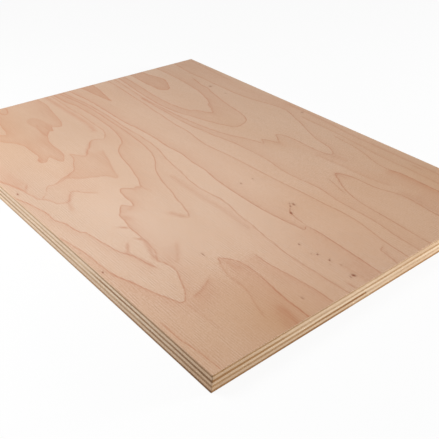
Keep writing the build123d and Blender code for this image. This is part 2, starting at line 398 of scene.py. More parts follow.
# Soft patches of the face, in the same terms: paler wood above 0, warmer and darker wood below 0.
PATCHES = [
    (60, -150, 240, 110, 0, 0.40), (130, -60, 260, 110, -8, 0.35), (30, 20, 300, 110, 0, 0.22),
    (-150, 50, 300, 60, 0, 0.15), (-230, 120, 220, 140, 0, 0.12), (230, 210, 260, 110, 0, -0.48),
    (280, 90, 180, 120, 0, -0.2), (295, -130, 150, 150, 0, -0.4), (280, -215, 160, 80, 0, -0.15),
    (-220, -150, 220, 120, 0, -0.18), (210, 30, 240, 190, 0, -0.07), (235, -150, 110, 60, 0, -0.08),
    (-170, -12, 220, 28, 0, 0.17), (95, -207, 180, 34, 8, 0.14), (180, 42, 110, 40, 0, -0.12),
    (-50, 105, 110, 50, 0, -0.13), (-150, 145, 140, 60, 0, 0.12), (-170, 65, 160, 30, 0, 0.12),
    (-295, 60, 50, 300, 0, 0.15), (190, 200, 160, 50, 0, 0.07), (130, -90, 120, 50, 0, -0.12),
    (250, -130, 120, 60, 0, -0.1), (-215, -155, 240, 70, -30, -0.09), (-160, 222, 170, 36, 0, -0.09),
    (155, 12, 50, 30, 0, -0.18), (170, 118, 70, 60, 0, -0.09), (165, -112, 40, 26, 0, 0.13),
    (60, -160, 180, 80, 0, 0.06), (-135, -37, 110, 24, 0, 0.13), (45, -22, 110, 50, 0, 0.06),
    (-115, 105, 60, 50, 0, 0.09), (30, 112, 60, 50, 0, -0.1), (288, -137, 40, 30, 0, -0.12),
]

# Greyed patches of the face, in the same terms: greyer and darker above 0, redder and brighter below 0.
# Partly the wood's tone, partly painted shade at the front left and painted light in the middle and at
# the right.
GREY_AND_PAINTED_LIGHT_PATCHES = [
    (-190, -110, 260, 150, 0, 0.19), (-50, -205, 240, 80, 0, 0.26), (210, 40, 260, 240, 0, -0.13),
    (60, 20, 220, 140, 0, -0.09), (220, -90, 200, 120, 0, -0.07), (180, 214, 100, 40, 0, 0.11),
]

# How dark the edge of a ply is along the front edge, by x, and along the right edge, by y, in
# millimetres: 0 plain, 1 the darkest streak, below 0 paler. The back veneer's dark edge is partly its
# wood and partly painted shadow where the sheet meets the floor.
FRONT_TONES = {
    "face_veneer": [(-60, -0.4), (140, -0.3), (220, 0.0), (300, 0.25)],
    "upper_crossband": [(0, 0.0), (100, -0.15), (160, -0.1), (220, 0.15), (300, 0.55)],
    "upper_long_ply": [(-60, -0.25), (0, -0.35), (100, -0.6), (135, 0.15), (220, 0.2), (300, 0.75)],
    "core_ply": [(-60, 0.0), (0, -0.1), (100, -0.1), (160, -0.2), (220, 0.1), (300, 0.55)],
    "lower_long_ply": [(-60, -0.2), (0, -0.1), (150, -0.4), (190, -0.35), (215, 0.3), (300, 0.2)],
    "lower_crossband": [(-60, -0.25), (50, 0.1), (140, 0.2), (220, 0.25), (300, 0.65)],
    # The back veneer's edge: partly its own darker wood, partly painted contact shadow along the floor
    "back_veneer": [(-60, -0.4), (60, -0.25), (140, 0.05), (220, 0.4), (300, 0.9)],
}
RIGHT_TONES = {
    "face_veneer": [(-225, -0.1), (-160, -0.2), (-100, -0.4), (40, -0.55)],
    "upper_crossband": [(-225, 0.5), (-150, 0.1), (-60, 0.05), (0, 0.1), (35, 0.35)],
    "upper_long_ply": [(-225, 0.45), (-150, -0.05), (-110, -0.45), (-60, -0.5), (-10, -0.2),
                       (40, -0.2)],
    "core_ply": [(-225, 0.35), (-150, 0.0), (-110, -0.25), (-40, -0.45)],
    "lower_long_ply": [(-225, -0.1), (-180, -0.2), (-125, -0.2), (-80, 0.35), (-45, 0.7), (-31, 0.7),
                       (-29, -0.65), (225, -0.6)],
    "lower_crossband": [(-225, 0.45), (-150, 0.2), (-80, 0.05), (-40, -0.15), (0, 0.0), (35, 0.2)],
    # The back veneer's edge: partly its own darker wood, partly painted contact shadow along the floor
    "back_veneer": [(-225, 0.15), (-160, 0.35), (-80, 0.5), (-62, 0.15), (-45, -0.35), (-10, -0.05),
                    (40, 0.1)],
}


# Sizes, colours and studio settings


def a_length(name, description, default):
    """A length setting."""
    return FloatProperty(name=name, description=description, default=default, precision=5, unit="LENGTH")


def a_share(name, description, default):
    """A setting between 0 and 1."""
    return FloatProperty(name=name, description=description, default=default, subtype="FACTOR",
                         min=0, max=1)


def a_colour(name, description, default):
    """A colour setting in linear light."""
    return FloatVectorProperty(name=name, description=description, default=default, subtype="COLOR",
                               min=0, max=1)


def a_place(name, description, default):
    """A place in the frame."""
    return FloatVectorProperty(name=name, description=description, default=default, precision=5,
                               subtype="XYZ", unit="LENGTH")


def a_power(name, description, default):
    """The power of a lamp."""
    return FloatProperty(name=name, description=description, default=default, unit="POWER")


class PlywoodSizes(bpy.types.PropertyGroup):
    """Sizes of the dressed sheet that the frame doesn't give."""

    edge_ease: a_length("Edge ease", "Radius that sanding leaves on the outside edges", 0.6 * MM)
    corner_ease: a_length("Corner ease", "Radius of the four upright corners", 0.9 * MM)
    joint_ease: a_length("Joint ease", "Radius at the corners of the jointed strips", 0.2 * MM)
    wall_step: a_length("Edge step", "Distance between stations along the sawn edges", 3.0 * MM)
    skin_step: a_length("Face step", "Mesh spacing on the face away from the growth rings", 4.0 * MM)
    line_step: a_length("Ring step", "Mesh spacing along a growth ring", 2.4 * MM)
    glue_wander: a_length("Glue line wander", "How far a glue line strays up and down", 0.28 * MM)
    glue_groove: a_length("Glue groove", "Depth of the crease at each glue line", 0.1 * MM)
    saw_ripple: a_length("Saw ripple", "Depth of the marks that the saw leaves on the edges", 0.05 * MM)
    knot_pit: a_length("Knot pit", "Depth of the small pits at the pin knots", 0.25 * MM)
    ring_sink: a_length("Ring relief", "How far sanding leaves a ring line below the face", 0.03 * MM)
    front_lean: a_length("Front lean", "How far the front saw cut leans in at the face", 1.2 * MM)


class PlywoodColours(bpy.types.PropertyGroup):
    """Colours of the woods and the floor, and how much the drawn rings tell."""

    face_pale: a_colour("Face, pale", "Early wood of the face", (0.656, 0.449, 0.32))
    face_pink: a_colour("Face, pink", "Warmer patches of the face", (0.626, 0.409, 0.281))
    face_fibre: a_colour("Face fibre", "Fine dark fibres of the face", (0.47, 0.285, 0.185))
    face_white: a_colour("Face, white", "The palest patches of the face", (0.732, 0.558, 0.439))
    face_warm: a_colour("Face, warm", "The darkest and warmest patches of the face", (0.5, 0.27, 0.13))
    # The grey and the red of the face also carry painted shade at the front left and painted light at the
    # right
    face_grey_and_shade: a_colour("Face, grey", "The greyest patches of the face", (0.448, 0.366, 0.3))
    face_red_and_light: a_colour("Face, red", "The reddest patches of the face", (0.83, 0.49, 0.3))
    shade_strength: a_share("Shade strength", "How much the ring shade tells", 0.62)
    line_strength: a_share("Line strength", "How much the ring lines tell", 0.69)
    ring_shade: a_colour("Ring shade", "Late wood beside a growth ring", (0.46, 0.17, 0.08))
    line_red: a_colour("Ring line, red", "Ring lines at the left and on the back", (0.45, 0.09, 0.022))
    line_brown: a_colour("Ring line, brown", "Ring lines at the right", (0.375, 0.088, 0.024))
    knot: a_colour("Pin knot", "Pin knots and flecks", (0.25, 0.08, 0.04))
    long_side: a_colour("Long ply, side", "Front and rear edges of plies along the face grain",
                        (0.376, 0.235, 0.138))
    long_end: a_colour("Long ply, end", "End grain of those plies at the left and right edges",
                       (0.425, 0.246, 0.116))
    long_side_streak: a_colour("Long ply, side streak", "Dark streaks on those sides",
                               (0.17, 0.088, 0.042))
    long_end_streak: a_colour("Long ply, end streak", "Dark streaks in that end grain",
                              (0.25, 0.104, 0.033))
    cross_wood: a_colour("Cross ply, side", "Left and right edges of plies across the face grain",
                         (0.73, 0.55, 0.38))
    cross_end: a_colour("Cross ply, end", "End grain of those plies at the front and rear edges",
                        (0.668, 0.534, 0.406))
    cross_pale: a_colour("Cross ply, pale", "The palest stretches of those plies", (0.835, 0.675, 0.5))
    cross_streak: a_colour("Cross ply streak", "Streaks in those plies", (0.45, 0.27, 0.15))
    floor: a_colour("Floor", "Paper floor of the studio", (0.86, 0.86, 0.86))


class PlywoodStudio(bpy.types.PropertyGroup):
    """Light and camera of the studio."""

    left_power: a_power("Left lamp", "Power of the lamp at the front left", 6.43)
    left_size: a_length("Left lamp size", "Side of that square lamp", 0.45)
    left_place: a_place("Left lamp place", "Where that lamp hangs", (-0.232, -0.558, 0.646))
    left_aim: a_place("Left lamp aim", "The point that it shines at", (0.0, -0.08, 0.0))
    right_power: a_power("Right lamp", "Power of the low lamp at the rear right", 25.5)
    right_size: a_length("Right lamp size", "Side of that square lamp", 0.35)
    right_place: a_place("Right lamp place", "Where that lamp stands", (0.826, 1.154, 0.2))
    right_aim: a_place("Right lamp aim", "The point that it shines at", (0.25, 0.05, 0.0))
    sky: FloatProperty(name="Sky", description="Strength of the even light from all round", default=0.3)
    shadow: a_share("Floor shadow", "Share of the floor's look that takes shadows", 0.08)
    camera_place: a_place("Camera", "Where the camera stands", (0.59682, -0.47584, 0.42005))
    camera_aim: a_place("Aim", "The point of the face that it looks at", (0.12547, -0.0693, 0.02))
    camera_roll: FloatProperty(name="Roll", description="Turn of the camera about its own axis",
                               default=math.radians(1.221), subtype="ANGLE")
    camera_lens: FloatProperty(name="Lens", description="Focal length on a 36 mm sensor", default=55.328)


# Outlines, walls and skins


def direction(degrees):
    """A level direction of length 1."""
    turn = math.radians(degrees)
    return np.array((math.cos(turn), math.sin(turn)))


def outline(low, high, corner, step):
    """Stations anticlockwise round a rectangle with eased corners: places and outward directions."""
    centres = np.array([(high[0] - corner, low[1] + corner), (high[0] - corner, high[1] - corner),
                        (low[0] + corner, high[1] - corner), (low[0] + corner, low[1] + corner)])
    places, ways = [], []
    for k, centre in enumerate(centres):
        before = centres[k - 1]
        start = FIRST_TURN + 90 * k
        count = max(2, round(np.linalg.norm(centre - before) / step))
        for t in np.linspace(0, 1, count, endpoint=False):
            ways.append(direction(start))
            places.append(before + (centre - before) * t + ways[-1] * corner)
        for j in range(CORNER_STEPS):
            ways.append(direction(start + 90 * j / CORNER_STEPS))
            places.append(centre + ways[-1] * corner)
    return np.array(places), np.array(ways)


def wander(seed, xy, waves):
    """A smooth wavering between about -1 and 1 over the sheet, from crossing waves of these lengths."""
    draw = np.random.default_rng(seed)
    total = np.zeros(len(xy))
    for wave in waves:
        turn, phase = draw.uniform(0, 2 * math.pi, 2)
        along = xy[:, 0] * math.cos(turn) + xy[:, 1] * math.sin(turn)
        total += np.sin(along * 2 * math.pi / wave + phase)
    return total / math.sqrt(len(waves))


def glue_line(index, xy, sizes):
    """Height along the sheet's edge of the glue line at this level of the lay-up."""
    return LEVELS[index] + sizes.glue_wander * 0.5 * wander(GLUE_SEED + index, xy, GLUE_WAVES)


def at_level(xy, level):
    """Places raised to one height or to a height for each."""
    return np.column_stack([xy, np.broadcast_to(level, len(xy))])


def wall_loops(bottom, top, places, ways, seed, sizes):
    """Loops up the sawn edge of one ply, creased at its bottom and top and rippled by the saw."""
    loops = []
    for height in WALL_SHARES:
        crease = sizes.glue_groove if height in (0.0, 1.0) else 0.0
        change = 1 + RIPPLE_CHANGE * wander(seed, places + height * MM, SAW_WAVES)
        inset = crease + np.maximum(sizes.saw_ripple * 0.5 * change, 0)
        loops.append(at_level(places - ways * inset[:, None], bottom + (top - bottom) * height))
    return loops


def arris_loops(places, ways, level, facing, sizes):
    """Loops of the eased edge from the wall to an outside face at this level that faces up or down."""
    loops = []
    for j in range(1, ARRIS_STEPS + 1):
        out, rise = direction(90 * j / ARRIS_STEPS)
        inset = sizes.edge_ease * (1 - out)
        loops.append(at_level(places - ways * inset, level - facing * sizes.edge_ease * (1 - rise)))
    return loops


def end_grain(ways):
    """1 at stations on the left and right edges, 0 on the front and rear edges."""
    return (np.abs(ways[:, 0]) > SIDE_ON).astype(float)


def edge_tone(node, places, ways):
    """How dark a ply's sawn edge is at each station, as drawn for the front and the right edge."""
    front, right = np.array(FRONT_TONES[node], float), np.array(RIGHT_TONES[node], float)
    on_front = np.interp(places[:, 0] / MM, front[:, 0], front[:, 1])
    on_right = np.interp(places[:, 1] / MM, right[:, 0], right[:, 1])
    return on_right * end_grain(ways) + on_front * (1 - end_grain(ways))


def loop_faces(loop_count, size):
    """Quads between loops of equal size that follow each other."""
    faces = []
    for first in range(0, (loop_count - 1) * size, size):
        for i in range(size):
            j = (i + 1) % size
            faces.append((first + i, first + j, first + size + j, first + size + i))
    return faces


def inner_shell(low, high, index, corner, seed, sizes):
    """Closed shell of one strip of an inner ply: its sawn edge, two hidden glued faces and the marks."""
    places, ways = outline(low, high, corner, sizes.wall_step)
    bottom, top = [glue_line(level, places, sizes) for level in (index, index + 1)]
    inside = places - ways * CAP_INSET
    loops = [at_level(inside, LEVELS[index]), *wall_loops(bottom, top, places, ways, seed, sizes),
             at_level(inside, LEVELS[index + 1])]
    size = len(places)
    faces = loop_faces(len(loops), size)
    faces.append(tuple(range(size))[::-1])
    faces.append(tuple(range((len(loops) - 1) * size, len(loops) * size)))
    marks = {"end": np.tile(end_grain(ways), len(loops)),
             "tone": np.tile(edge_tone(ORDER[index], places, ways), len(loops))}
    return np.vstack(loops), faces, marks


def veneer_wall(places, ways, facing, sizes):
    """Loops of an outside veneer's edge, from below to above, and the rim of its outside face."""
    last = len(ORDER) - 1
    index, glued, outside = (last, last, last + 1) if facing == UP else (0, 1, 0)
    glue = glue_line(glued, places, sizes)
    shoulder = np.full(len(places), LEVELS[outside] - facing * sizes.edge_ease)
    bottom, top = (glue, shoulder)[::facing]
    walls = wall_loops(bottom, top, places, ways, index, sizes)[::facing]
    walls[-1][:, :2] = places
    inside = at_level(places - ways * CAP_INSET, LEVELS[glued])
    loops = [inside, *walls, *arris_loops(places, ways, LEVELS[outside], facing, sizes)]
    rim = loops.pop()[:, :2]
    return loops[::facing], rim


def veneer_faces(loop_count, rim, triangles, facing):
    """Faces of an outside veneer: its edge, its hidden glued face, the strip at the rim and its skin."""
    size = len(rim)
    wall = loop_count * size
    cap, shoulder = (range(size), range(wall - size, wall))[::facing]
    faces = loop_faces(loop_count, size)
    faces.append(tuple(cap)[::-facing])
    for i in range(size):
        j = (i + 1) % size
        faces.append((shoulder[i], shoulder[j], wall + rim[j], wall + rim[i])[::facing])
    return faces + [tuple(wall + corner for corner in triangle[::facing]) for triangle in triangles]


def skin(rim, points):
    """Flat triangle mesh in a rim, through these points: corners, triangles and the rim's corners."""
    corners = [Vector(p) for p in np.vstack([rim, points]) / MM]
    size = len(rim)
    edges = [(i, (i + 1) % size) for i in range(size)]
    places, _, triangles, sources, _, _ = delaunay_2d_cdt(corners, edges, [], 0, JOIN_DISTANCE)
    place_of = {source: k for k, group in enumerate(sources) for source in group}
    return np.array([tuple(p) for p in places]) * MM, triangles, [place_of[i] for i in range(size)]


def face_grid(margin, step):
    """Evenly spaced places on the sheet, this far in from its edges."""
    xs, ys = [np.linspace(a + margin, b - margin, max(2, round((b - a - 2 * margin) / step)))
              for a, b in zip(LOW[:2], HIGH[:2])]
    return np.array(np.meshgrid(xs, ys)).reshape(2, -1).T


# The drawn figure of the face


def curve_through(points, step, closed=False):
    """Evenly spaced stations on a smooth curve through drawn points, and the curve's direction there."""
    drawn = np.array(points, float) * MM
    if closed:
        drawn = np.vstack([drawn, drawn[:1]])
    hops = np.diff(drawn, axis=0)
    lengths = np.linalg.norm(hops, axis=1)
    slopes = hops / lengths[:, None]
    middle = slopes[:-1] * lengths[1:, None] + slopes[1:] * lengths[:-1, None]
    middle = middle / (lengths[:-1] + lengths[1:])[:, None]
    tangents = np.vstack([slopes[:1], middle, slopes[-1:]])
    stations = []
    for k, hop in enumerate(lengths):
        t = np.linspace(0, 1, max(2, round(hop / step)), endpoint=False)[:, None]
        pulls = (t**3 - 2 * t**2 + t) * tangents[k] + (t**3 - t**2) * tangents[k + 1]
        stations.append((2 * t**3 - 3 * t**2 + 1) * drawn[k] + (3 * t**2 - 2 * t**3) * drawn[k + 1]
                        + pulls * hop)
    stations = np.vstack([*stations, drawn[-1:]])
    ways = np.gradient(stations, axis=0)
    return stations, ways / np.linalg.norm(ways, axis=1)[:, None]


def offset_from(xy, stations, ways):
    """Signed distance of each place from a curve, positive on its left, and the nearest station."""
    signed = np.empty(len(xy))
    nearest = np.empty(len(xy), int)
    for start in range(0, len(xy), BATCH):
        part = xy[start:start + BATCH]
        square = ((part[:, None, :] - stations[None, :, :]) ** 2).sum(2)
        k = square.argmin(1)
        hop = part - stations[k]
        across = ways[k, 0] * hop[:, 1] - ways[k, 1] * hop[:, 0]
        along = np.abs((hop * ways[k]).sum(1))
        beyond = np.maximum(along - STATION_SLACK, 0)
        signed[start:start + BATCH] = np.copysign(np.hypot(across, beyond), across)
        nearest[start:start + BATCH] = k
    return signed, nearest


def figure_points(sizes):
    """Places for the face mesh that follow the growth rings and the pin knots closely."""
    rows = []
    for ring in RINGS:
        if ring.width > WIDEST_ROWED:
            continue
        spread = max(1.0, ring.width / ROW_WIDTH)
        stations, ways = curve_through(ring.points, sizes.line_step, ring.closed)
        left = np.column_stack([-ways[:, 1], ways[:, 0]])
        rows += [stations + left * row * spread * MM for row in LINE_ROWS]
    turn = np.linspace(0, 2 * math.pi, KNOT_SPOKES, endpoint=False)
    for x, y, length, width, tilt, _ in KNOTS:
        c, s = direction(tilt)
        for size in KNOT_SHARES:
            u, v = length / 2 * size * np.cos(turn), width / 2 * size * np.sin(turn)
            rows.append(np.column_stack([x + u * c - v * s, y + u * s + v * c]) * MM)
    return np.vstack(rows)


def ring_figure(xy):
    """Darkness of the ring lines and of the soft shade beside them at each place of the face."""
    line_clear, shade_clear = np.ones(len(xy)), np.ones(len(xy))
    for count, ring in enumerate(RINGS):
        stations, ways = curve_through(ring.points, RING_STEP, ring.closed)
        width, reach = ring.width * MM, ring.reach * MM
        spread = RING_REACH * (max(width, reach) if ring.shade else width)
        near = np.all((xy > stations.min(0) - spread) & (xy < stations.max(0) + spread), axis=1)
        here = xy[near]
        signed, nearest = offset_from(here, stations, ways)
        if ring.width < WIDEST_WOBBLED:
            signed = signed + WOBBLE * wander(RING_SEED + count, here, RING_WAVES)
        ends = np.minimum(nearest, len(stations) - 1 - nearest) * RING_STEP / FADE_LENGTH
        fade = 1.0 if ring.closed else np.clip(END_SHARE + ends, 0, 1)
        line_clear[near] *= 1 - ring.line * fade * np.exp(-(signed / width) ** 2)
        inward = signed * ring.side
        soft = np.clip(inward / SHADE_EDGE + 0.5, 0, 1) * np.exp(-np.maximum(inward, 0) / reach)
        shade_clear[near] *= 1 - ring.shade * fade * soft
    return 1 - line_clear, 1 - shade_clear


def from_middle(xy, x, y, length, width, tilt):
    """Square of each place's distance from the middle of a tilted oval, 1 on the oval itself."""
    c, s = direction(tilt)
    dx, dy = xy[:, 0] / MM - x, xy[:, 1] / MM - y
    u, v = (dx * c + dy * s) / (length / 2), (dy * c - dx * s) / (width / 2)
    return u * u + v * v


def knot_figure(xy):
    """Darkness of the pin knots at each place of the face."""
    clear = np.ones(len(xy))
    for *oval, darkness in KNOTS:
        clear *= 1 - darkness * np.exp(-(from_middle(xy, *oval) ** KNOT_FLATNESS) * KNOT_SHARPNESS)
    return 1 - clear


def patch_figure(xy, patches):
    """Sum of soft patches at each place of the face."""
    total = np.zeros(len(xy))
    for *oval, amount in patches:
        total += amount * np.exp(-from_middle(xy, *oval))
    return total


# Meshes and materials


def leaned(places, lean):
    """Leans the front saw cut: corners next to the front edge move in, the more the higher they are."""
    near = np.clip(1 - (places[:, 1] - LOW[1]) / LEAN_DEPTH, 0, 1)
    height = (places[:, 2] - LOW[2]) / (HIGH[2] - LOW[2])
    return places + np.outer(near * height, (0.0, lean, 0.0))


def build_piece(node, name, places, faces, marks, material):
    """Makes one ply's piece from its corners, faces and marks, and seats it in the frame."""
    places = leaned(places, bpy.context.scene.plywood_sizes.front_lean)
    mesh = bpy.data.meshes.new(name)
    mesh.from_pydata(places.tolist(), [], faces)
    mesh.validate()
    for title, values in marks.items():
        layer = mesh.attributes.new(title, "FLOAT", "POINT")
        layer.data.foreach_set("value", np.asarray(values, np.float32))
    mesh.materials.append(material)
    mesh.shade_smooth()
    mesh.set_sharp_from_angle(angle=SHARP_ANGLE)
    piece = bpy.data.objects.new(name, mesh)
    bpy.context.scene.collection.objects.link(piece)
    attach(piece, "root")
    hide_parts(node)


def add(tree, kind, inputs=None, **settings):
    """Adds a node, with its settings and its inputs, which are values or other nodes' sockets."""
    made = tree.nodes.new(kind)
    for key, value in settings.items():
        setattr(made, key, value)
    for key, value in (inputs or {}).items():
        if isinstance(value, bpy.types.NodeSocket):
            tree.links.new(value, made.inputs[key])
        else:
            made.inputs[key].default_value = value
    return made


def number(tree, operation, a, b=0.0):
    """A sum on one or two numbers."""
    return add(tree, "ShaderNodeMath", {0: a, 1: b}, operation=operation).outputs[0]


def times(tree, a, b):
    """The product of two numbers."""
    return number(tree, "MULTIPLY", a, b)


def spread_value(tree, value, source=(0, 1), target=(0, 1)):
    """Maps a value from one range to another, clamped."""
    ins = {"Value": value, "From Min": source[0], "From Max": source[1], "To Min": target[0],
           "To Max": target[1]}
    return add(tree, "ShaderNodeMapRange", ins).outputs[0]


def below_zero(tree, value):
    """How far a value lies below 0, up to 1."""
    return spread_value(tree, value, (-1, 0), (1, 0))


def stain(tree, factor, under, over):
    """Lays one colour over another by a factor."""
    ins = {0: factor}
    for socket, value in ((MIX_UNDER, under), (MIX_OVER, over)):
        ins[socket] = value if isinstance(value, bpy.types.NodeSocket) else (*value, 1.0)
    return add(tree, "ShaderNodeMix", ins, data_type="RGBA").outputs[MIX_RESULT]


def on_sheet(tree):
    """The place on the sheet, in the frame."""
    return add(tree, "ShaderNodeTexCoord").outputs["Object"]


def drawn_out(tree, axis, along, across):
    """The place on the sheet, scaled so that a noise gets this length along an axis and this breadth."""
    scale = [1 / across] * 3
    scale[axis] = 1 / along
    ins = {0: on_sheet(tree), 1: scale}
    return add(tree, "ShaderNodeVectorMath", ins, operation="MULTIPLY").outputs[0]


def fibres(tree, axis, along, across, detail=2.0, roughness=0.55):
    """Noise drawn out along the grain, with streaks of this length and thickness."""
    ins = {"Vector": drawn_out(tree, axis, along, across), "Scale": 1.0, "Detail": detail,
           "Roughness": roughness}
    return add(tree, "ShaderNodeTexNoise", ins).outputs[0]


def hatching(tree, along, across, lines):
    """Noise of fine lines along X, in bundles of this length and breadth with so many lines each."""
    ins = {"Vector": drawn_out(tree, ALONG_X, along, across), "Scale": 1.0, "Frequency": lines,
           "Orientation": LINES_ALONG_X}
    return add(tree, "ShaderNodeTexGabor", ins).outputs["Value"]


def mark(tree, name):
    """A mark stored on the mesh's corners."""
    return add(tree, "ShaderNodeAttribute", attribute_name=name).outputs["Fac"]


def new_material(name):
    """An empty material and its node tree."""
    material = bpy.data.materials.new(name)
    material.use_nodes = True
    material.node_tree.nodes.clear()
    return material, material.node_tree


def finish_wood(tree, wood, grain, bump_depth):
    """Sanded, unfinished wood: dull, a little uneven, with fibres that stand in the light."""
    ins = {"Strength": BUMP_STRENGTH, "Distance": bump_depth, "Height": grain}
    bump = add(tree, "ShaderNodeBump", ins)
    ins = {"Base Color": wood, "Roughness": spread_value(tree, grain, EVEN_NOISE, WOOD_ROUGHNESS),
           "Normal": bump.outputs[0], "Specular IOR Level": WOOD_GLOSS}
    shader = add(tree, "ShaderNodeBsdfPrincipled", ins)
    add(tree, "ShaderNodeOutputMaterial", {"Surface": shader.outputs[0]})


def face_wood_base(tree, colours, boost=1.0):
    """Plain wood of the outside veneers, with fine lines and flecks times boost, and its fibre noise."""
    patch = fibres(tree, ALONG_X, along=150 * MM, across=45 * MM, detail=3)
    fibre = fibres(tree, ALONG_X, along=20 * MM, across=1.3 * MM, detail=3, roughness=0.6)
    hatch = hatching(tree, along=14 * MM, across=5 * MM, lines=LINES_A_BUNDLE)
    fleck = fibres(tree, ALONG_X, along=1.6 * MM, across=0.9 * MM, detail=1)
    wood = stain(tree, spread_value(tree, patch, PATCH_NOISE), colours.face_pale, colours.face_pink)
    wood = stain(tree, spread_value(tree, fibre, FIBRE_NOISE, (0, FIBRE_DEPTH)), wood, colours.face_fibre)
    for noise, (darkest, palest) in ((hatch, HATCH_DEPTH), (fleck, FLECK_DEPTH)):
        dark = times(tree, spread_value(tree, noise, DARK_NOISE, (0, darkest)), boost)
        pale = times(tree, spread_value(tree, noise, PALE_NOISE, (palest, 0)), boost)
        wood = stain(tree, dark, wood, colours.face_fibre)
        wood = stain(tree, pale, wood, colours.face_white)
    return wood, fibre


def sawn_edge(tree, axis, side, end, streaks, pale):
    """Colour of a sawn edge, on its sides and its ends, streaked along the grain, and its fine noise."""
    band = fibres(tree, axis, along=70 * MM, across=2.2 * MM, detail=3)
    fine = fibres(tree, axis, along=14 * MM, across=0.4 * MM, detail=2)
    tone = mark(tree, "tone")
    wood = stain(tree, mark(tree, "end"), side, end)
    streak = stain(tree, mark(tree, "end"), *streaks)
    wood = stain(tree, below_zero(tree, tone), wood, pale)
    wood = stain(tree, spread_value(tree, tone), wood, streak)
    wood = stain(tree, spread_value(tree, band, STREAK_NOISE, (0, STREAK_DEPTH)), wood, streak)
    wood = stain(tree, spread_value(tree, fine, DARK_NOISE, (0, FINE_DEPTH)), wood, streak)
    return wood, fine


def long_woods(colours):
    """Colours of an edge whose grain runs along X: its sides, its ends, their streaks and the palest."""
    streaks = (colours.long_side_streak, colours.long_end_streak)
    return colours.long_side, colours.long_end, streaks, colours.cross_wood


def finish_veneer(tree, wood, fibre, colours):
    """The sawn edge of an outside veneer, and the finish of all of it."""
    edge, _ = sawn_edge(tree, ALONG_X, *long_woods(colours))
    finish_wood(tree, stain(tree, mark(tree, "edge"), wood, edge), fibre, FACE_BUMP)


def face_material(colours):
    """The good face: drawn rings, shade and pin knots over the plain wood, and its darker sawn edge."""
    material, tree = new_material("face_wood_good")
    patch = mark(tree, "patch")
    along = add(tree, "ShaderNodeSeparateXYZ", {0: on_sheet(tree)}).outputs["X"]
    open_grain = spread_value(tree, along, GRAIN_PLACE, GRAIN_RISE)
    boost = times(tree, open_grain, spread_value(tree, patch, GRAIN_PATCH, PATCH_RISE))
    wood, fibre = face_wood_base(tree, colours, boost)
    uneven = spread_value(tree, fibre, EVEN_NOISE, RING_RANGE)
    # The grey patches paint shade at the front left and light in the middle and at the right, besides the
    # wood's tone
    for name, above, below in (("patch", colours.face_white, colours.face_warm),
                               ("grey", colours.face_grey_and_shade, colours.face_red_and_light)):
        wood = stain(tree, spread_value(tree, mark(tree, name)), wood, above)
        wood = stain(tree, below_zero(tree, mark(tree, name)), wood, below)
    to_right = spread_value(tree, along, BROWN_PLACE)
    ring_line = stain(tree, to_right, colours.line_red, colours.line_brown)
    for name, strength, tint in (("shade", colours.shade_strength, colours.ring_shade),
                                 ("line", colours.line_strength, ring_line)):
        wood = stain(tree, times(tree, times(tree, mark(tree, name), uneven), strength), wood, tint)
    wood = stain(tree, mark(tree, "knot"), wood, colours.knot)
    finish_veneer(tree, wood, fibre, colours)
    return material


def back_material(colours):
    """The back veneer: the same wood with a plainer figure of its own, made from bent bands."""
    material, tree = new_material("face_wood_back")
    wood, fibre = face_wood_base(tree, colours)
    bend = fibres(tree, ALONG_X, along=330 * MM, across=85 * MM, detail=2, roughness=0.45)
    across = add(tree, "ShaderNodeSeparateXYZ", {0: on_sheet(tree)}).outputs["Y"]
    bands = number(tree, "ADD", times(tree, bend, BAND_BEND), times(tree, across, BANDS_A_METRE))
    ring = number(tree, "FRACT", bands)
    shade = spread_value(tree, ring, BAND_SHADE, (0, BAND_SHADE_DEPTH))
    wood = stain(tree, shade, wood, colours.ring_shade)
    line = times(tree, spread_value(tree, ring, BAND_LINE_RISE),
                 spread_value(tree, ring, BAND_LINE_FALL, (1, 0)))
    wood = stain(tree, times(tree, line, BAND_LINE_DEPTH), wood, colours.line_red)
    finish_veneer(tree, wood, fibre, colours)
    return material


def edge_material(name, axis, side, end, streaks, pale):
    """Sawn edge of an inner ply whose grain runs along one axis."""
    material, tree = new_material(name)
    wood, fine = sawn_edge(tree, axis, side, end, streaks, pale)
    finish_wood(tree, wood, fine, EDGE_BUMP)
    return material


# Operators, one for each piece or group of like pieces and one for the studio


def strips(node, sizes):
    """Low and high corners of the strips that a ply is laid from, and the easing of their corners."""
    if node != "lower_long_ply":
        return [(LOW, HIGH, sizes.corner_ease)]
    gap_low, gap_high = JOINT - JOINT_GAP / 2, JOINT + JOINT_GAP / 2
    return [(LOW, (HIGH[0], gap_low), sizes.joint_ease), ((LOW[0], gap_high), HIGH, sizes.joint_ease)]


def build_inner_plies(nodes, material, sizes):
    """One piece for each of these inner plies, with all its strips."""
    for node in nodes:
        index = ORDER.index(node)
        corners, faces, marks = np.empty((0, 3)), [], {"end": [], "tone": []}
        for strip, (low, high, corner) in enumerate(strips(node, sizes)):
            seed = PLY_SEED + index + STRIP_SEED * strip
            places, shell, strip_marks = inner_shell(low, high, index, corner, seed, sizes)
            faces += [tuple(len(corners) + i for i in face) for face in shell]
            corners = np.vstack([corners, places])
            marks = {key: np.concatenate([marks[key], strip_marks[key]]) for key in marks}
        build_piece(node, f"{node}_sawn", corners, faces, marks, material)


def build_outer_veneer(node, facing, loops, skin_places, rim, triangles, wall_marks, skin_marks,
                       material):
    """One outside veneer: loops of its edge, corners and triangles of its skin, and the marks of both."""
    corners = np.vstack([*loops, skin_places])
    faces = veneer_faces(len(loops), rim, triangles, facing)
    on_skin, on_wall = np.zeros(len(skin_places)), np.zeros(len(loops) * len(rim))
    marks = {name: np.concatenate([*values, on_skin]) for name, values in wall_marks.items()}
    marks |= {name: np.concatenate([on_wall, values]) for name, values in skin_marks.items()}
    build_piece(node, f"{node}_skin", corners, faces, marks, material)


